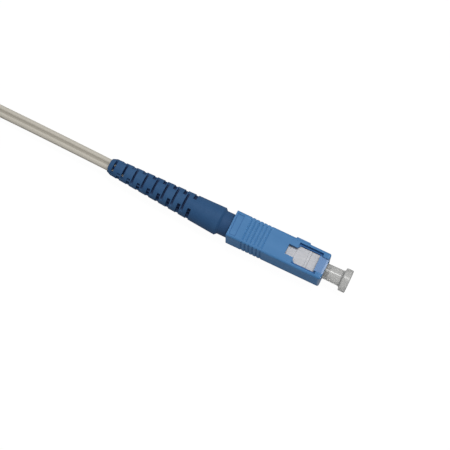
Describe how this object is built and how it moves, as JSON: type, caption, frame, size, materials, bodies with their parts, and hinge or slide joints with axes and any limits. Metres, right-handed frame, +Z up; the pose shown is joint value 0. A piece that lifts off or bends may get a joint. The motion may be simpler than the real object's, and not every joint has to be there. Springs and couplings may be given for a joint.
{
  "type": "sc fibre connector",
  "caption": "Square push-pull fibre plug: keyed sliding sleeve, plug frame, sprung ceramic ferrule under a dust cap, slotted boot and a flat cable tied in a hank.",
  "frame": {"origin": "centre of the outer sleeve's lower face, which the plug lies on", "axes": "+X along the plug towards the fibre's end face, +Y towards the side with the key, +Z up"},
  "size_m": [0.1818, 0.0266, 0.0102],
  "materials": {
    "sleeve_plastic": "moulded blue polybutylene terephthalate with a fine satin",
    "frame_plastic": "moulded pale grey glass-filled plastic",
    "zirconia": "ground and polished white zirconia",
    "flange_steel": "turned stainless steel",
    "spring_steel": "wound stainless spring wire",
    "plated_brass": "turned brass with nickel plating",
    "tube_plastic": "extruded fluoropolymer tube",
    "fibre_glass": "coated silica fibre",
    "crimp_aluminium": "drawn and crimped",
    "member_steel": "plated steel wire",
    "boot_rubber": "moulded navy thermoplastic elastomer",
    "cap_plastic": "moulded translucent natural polyethylene",
    "sheath_plastic": "extruded cream grey low-smoke sheath",
    "tie_plastic": "plain nylon strap"
  },
  "bodies": {
    "plug": {"plug_frame": "frame_plastic", "stop_ring": "plated_brass", "crimp_ring": "crimp_aluminium", "strength_members": "member_steel", "strain_relief_boot": "boot_rubber", "ferrule_spring": "spring_steel", "optical_fibre": "fibre_glass", "cable_sheath": "sheath_plastic", "cable_hank": "sheath_plastic", "hank_ties": "tie_plastic"},
    "sleeve": {"coupling_sleeve": "sleeve_plastic"},
    "ferrule": {"ferrule": "zirconia", "ferrule_flange": "flange_steel", "fibre_guide_tube": "tube_plastic"},
    "cap": {"dust_cap": "cap_plastic"}
  },
  "joints": [
    {"name": "sleeve_slide", "type": "slide", "parent": "plug", "child": "sleeve", "axis": [1, 0, 0], "range_m": [-0.0012, 0]},
    {"name": "ferrule_retract", "type": "slide", "parent": "plug", "child": "ferrule", "axis": [-1, 0, 0], "range_m": [0, 0.0016], "stiffness_N_per_m": 2500, "deforming": ["ferrule_spring", "optical_fibre"]},
    {"name": "cap_pull", "type": "slide", "parent": "plug", "child": "cap", "axis": [1, 0, 0], "range_m": [0, 0.012]}
  ]
}
